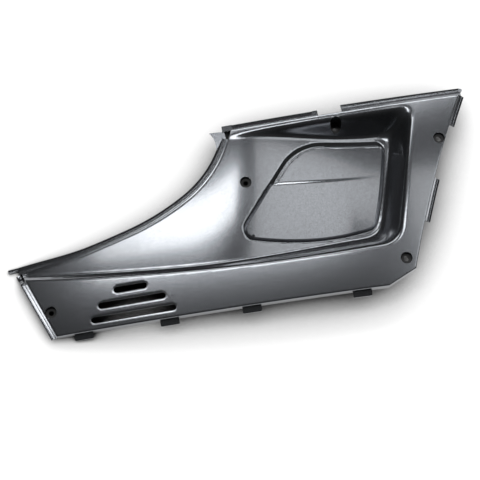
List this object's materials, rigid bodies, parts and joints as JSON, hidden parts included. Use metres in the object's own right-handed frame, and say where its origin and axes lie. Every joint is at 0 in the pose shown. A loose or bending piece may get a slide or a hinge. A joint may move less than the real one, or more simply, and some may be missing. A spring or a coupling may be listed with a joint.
{
  "type": "scooter side cover",
  "caption": "Moulded and painted side panel for a scooter, with a deep scoop, an inset pad, vent slots, screw seats and tuck-in flanges.",
  "frame": {"origin": "centre of the panel's footprint, on the surface it lies on", "axes": "+X along the length, from the low tip to the tall end; +Y from the bottom edge to the top edge; +Z out of the painted face"},
  "size_m": [0.564, 0.241, 0.0459],
  "materials": {
    "painted_plastic": "graphite metallic paint under clear coat on a moulded plastic panel"
  },
  "bodies": {
    "root": {"side_cover": "painted_plastic"}
  },
  "joints": []
}
